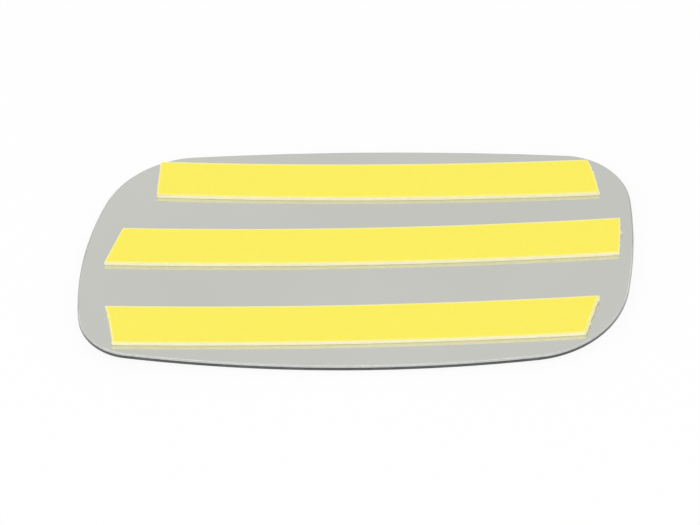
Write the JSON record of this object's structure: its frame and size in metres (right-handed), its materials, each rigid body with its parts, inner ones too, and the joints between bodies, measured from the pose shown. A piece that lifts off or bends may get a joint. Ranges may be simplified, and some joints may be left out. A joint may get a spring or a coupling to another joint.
{
  "type": "stick-on mirror glass",
  "caption": "Convex mirror glass with a rounded wide outline, carrying foam tape strips with yellow peel-off liners on its coated back.",
  "frame": {"origin": "lowest point of the convex front face, midway along the outline's length and height", "axes": "+X along the outline's length, from the end with the tall corner to the other; +Y across it, towards the side nearest a strip; +Z out of the coated back, on the side of the tape"},
  "size_m": [0.179, 0.093, 0.0063],
  "materials": {
    "glass": "clear float glass with a ground edge",
    "mirror_coating": "bare vacuum-deposited metal, smooth and slightly grey",
    "foam": "closed-cell foam, off-white and matt",
    "adhesive": "clear tacky coat",
    "liner": "smooth yellow coated release paper, satin"
  },
  "bodies": {
    "mirror": {"glass_pane": "glass", "mirror_coating": "mirror_coating", "upper_tape_inner_adhesive": "adhesive", "upper_tape_foam_core": "foam", "upper_tape_outer_adhesive": "adhesive", "middle_tape_inner_adhesive": "adhesive", "middle_tape_foam_core": "foam", "middle_tape_outer_adhesive": "adhesive", "lower_tape_inner_adhesive": "adhesive", "lower_tape_foam_core": "foam", "lower_tape_outer_adhesive": "adhesive"},
    "upper_liner": {"upper_tape_release_liner": "liner"},
    "middle_liner": {"middle_tape_release_liner": "liner"},
    "lower_liner": {"lower_tape_release_liner": "liner"}
  },
  "joints": [
    {"name": "upper_liner_peel", "type": "hinge", "parent": "mirror", "child": "upper_liner", "pos_m": [-0.0672, 0.03136, 0.00574], "axis": [0.0035, -1, 0], "range_deg": [0, 135]},
    {"name": "middle_liner_peel", "type": "hinge", "parent": "mirror", "child": "middle_liner", "pos_m": [-0.08207, 0.00112, 0.00603], "axis": [0.0253, -0.9997, 0], "range_deg": [0, 135]},
    {"name": "lower_liner_peel", "type": "hinge", "parent": "mirror", "child": "lower_liner", "pos_m": [-0.07977, -0.03217, 0.00641], "axis": [0.0297, -0.9996, 0], "range_deg": [0, 135]}
  ]
}
